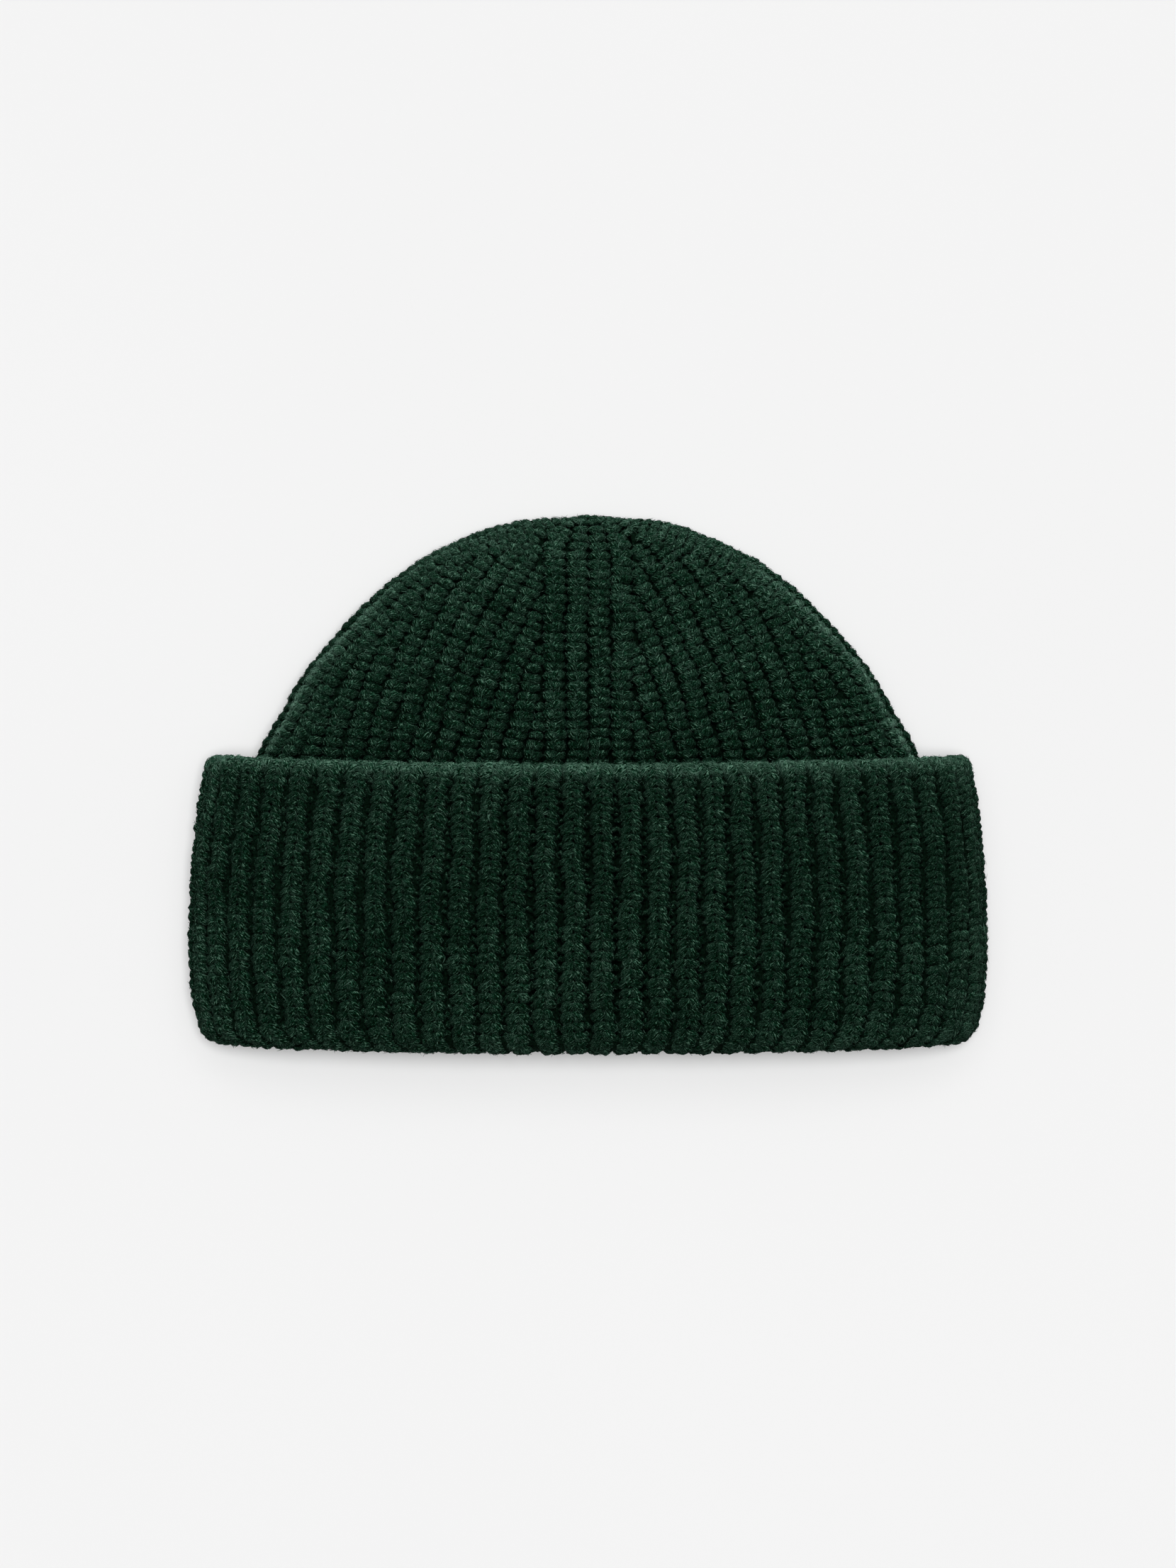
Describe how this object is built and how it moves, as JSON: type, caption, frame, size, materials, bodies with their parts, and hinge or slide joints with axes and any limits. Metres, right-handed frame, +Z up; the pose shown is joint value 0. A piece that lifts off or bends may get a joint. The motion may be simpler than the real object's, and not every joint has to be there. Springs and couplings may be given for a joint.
{
  "type": "cuffed beanie",
  "caption": "Chunky rib-knit beanie with a deep turned-up cuff, lying flat, open at the rim for a head.",
  "frame": {"origin": "on the table, under the middle of the hat's outline", "axes": "+X across the hat, +Y from the rim to the tip of the crown, +Z up from the table"},
  "size_m": [0.2398, 0.1624, 0.05],
  "materials": {
    "knit": "matte bulky wool-blend yarn in rib stitch, dark green"
  },
  "bodies": {
    "root": {"crown": "knit", "cuff": "knit"}
  },
  "joints": []
}
